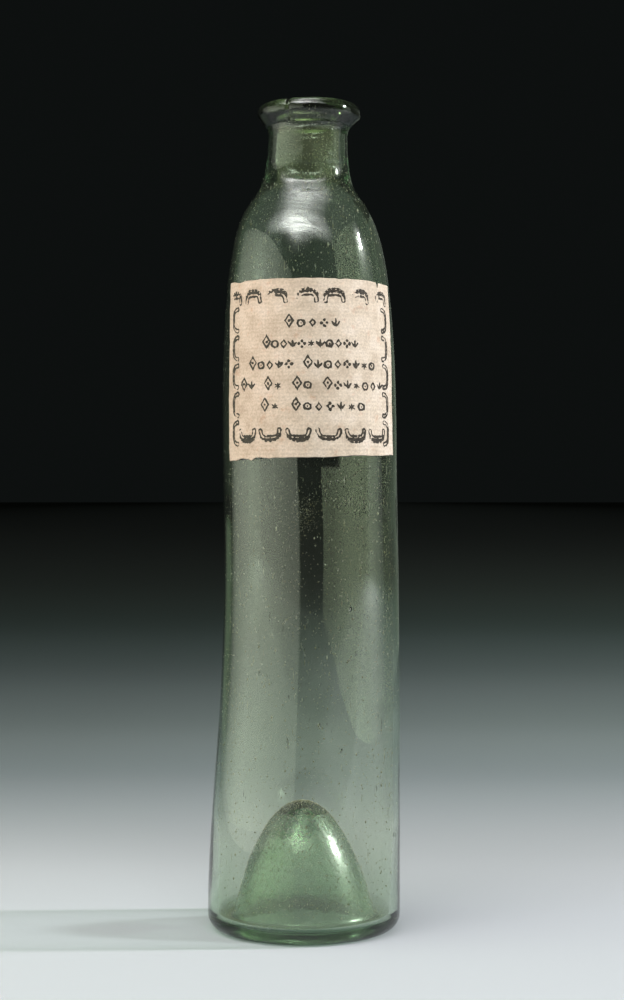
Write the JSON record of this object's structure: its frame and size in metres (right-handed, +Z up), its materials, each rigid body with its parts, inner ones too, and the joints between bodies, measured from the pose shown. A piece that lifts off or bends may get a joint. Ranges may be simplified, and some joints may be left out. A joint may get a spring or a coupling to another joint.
{
  "type": "apothecary bottle",
  "caption": "Tall open-mouthed blown-glass apothecary bottle with a rounded shoulder, a short neck with an applied lip, a deep kick and a pasted paper label.",
  "frame": {"origin": "on the ground, at the centre of the resting ring", "axes": "+Z up along the bottle's axis and out of its mouth, -Y out of the labelled front, +X to the viewer's right"},
  "size_m": [0.048, 0.048, 0.2053],
  "materials": {
    "body_glass": "fire-polished, pale grey-green, seedy",
    "lip_glass": "fire-polished, darker green where it is thick",
    "scar_glass": "broken, rough, dark green",
    "dried_paste": "dull, brittle film",
    "rag_paper": "matt laid rag paper, foxed, printed in black-brown ink"
  },
  "bodies": {
    "root": {"blown_body": "body_glass", "lip_ring": "lip_glass", "pontil_scar": "scar_glass", "label_paste": "dried_paste", "paper_label": "rag_paper"}
  },
  "joints": []
}
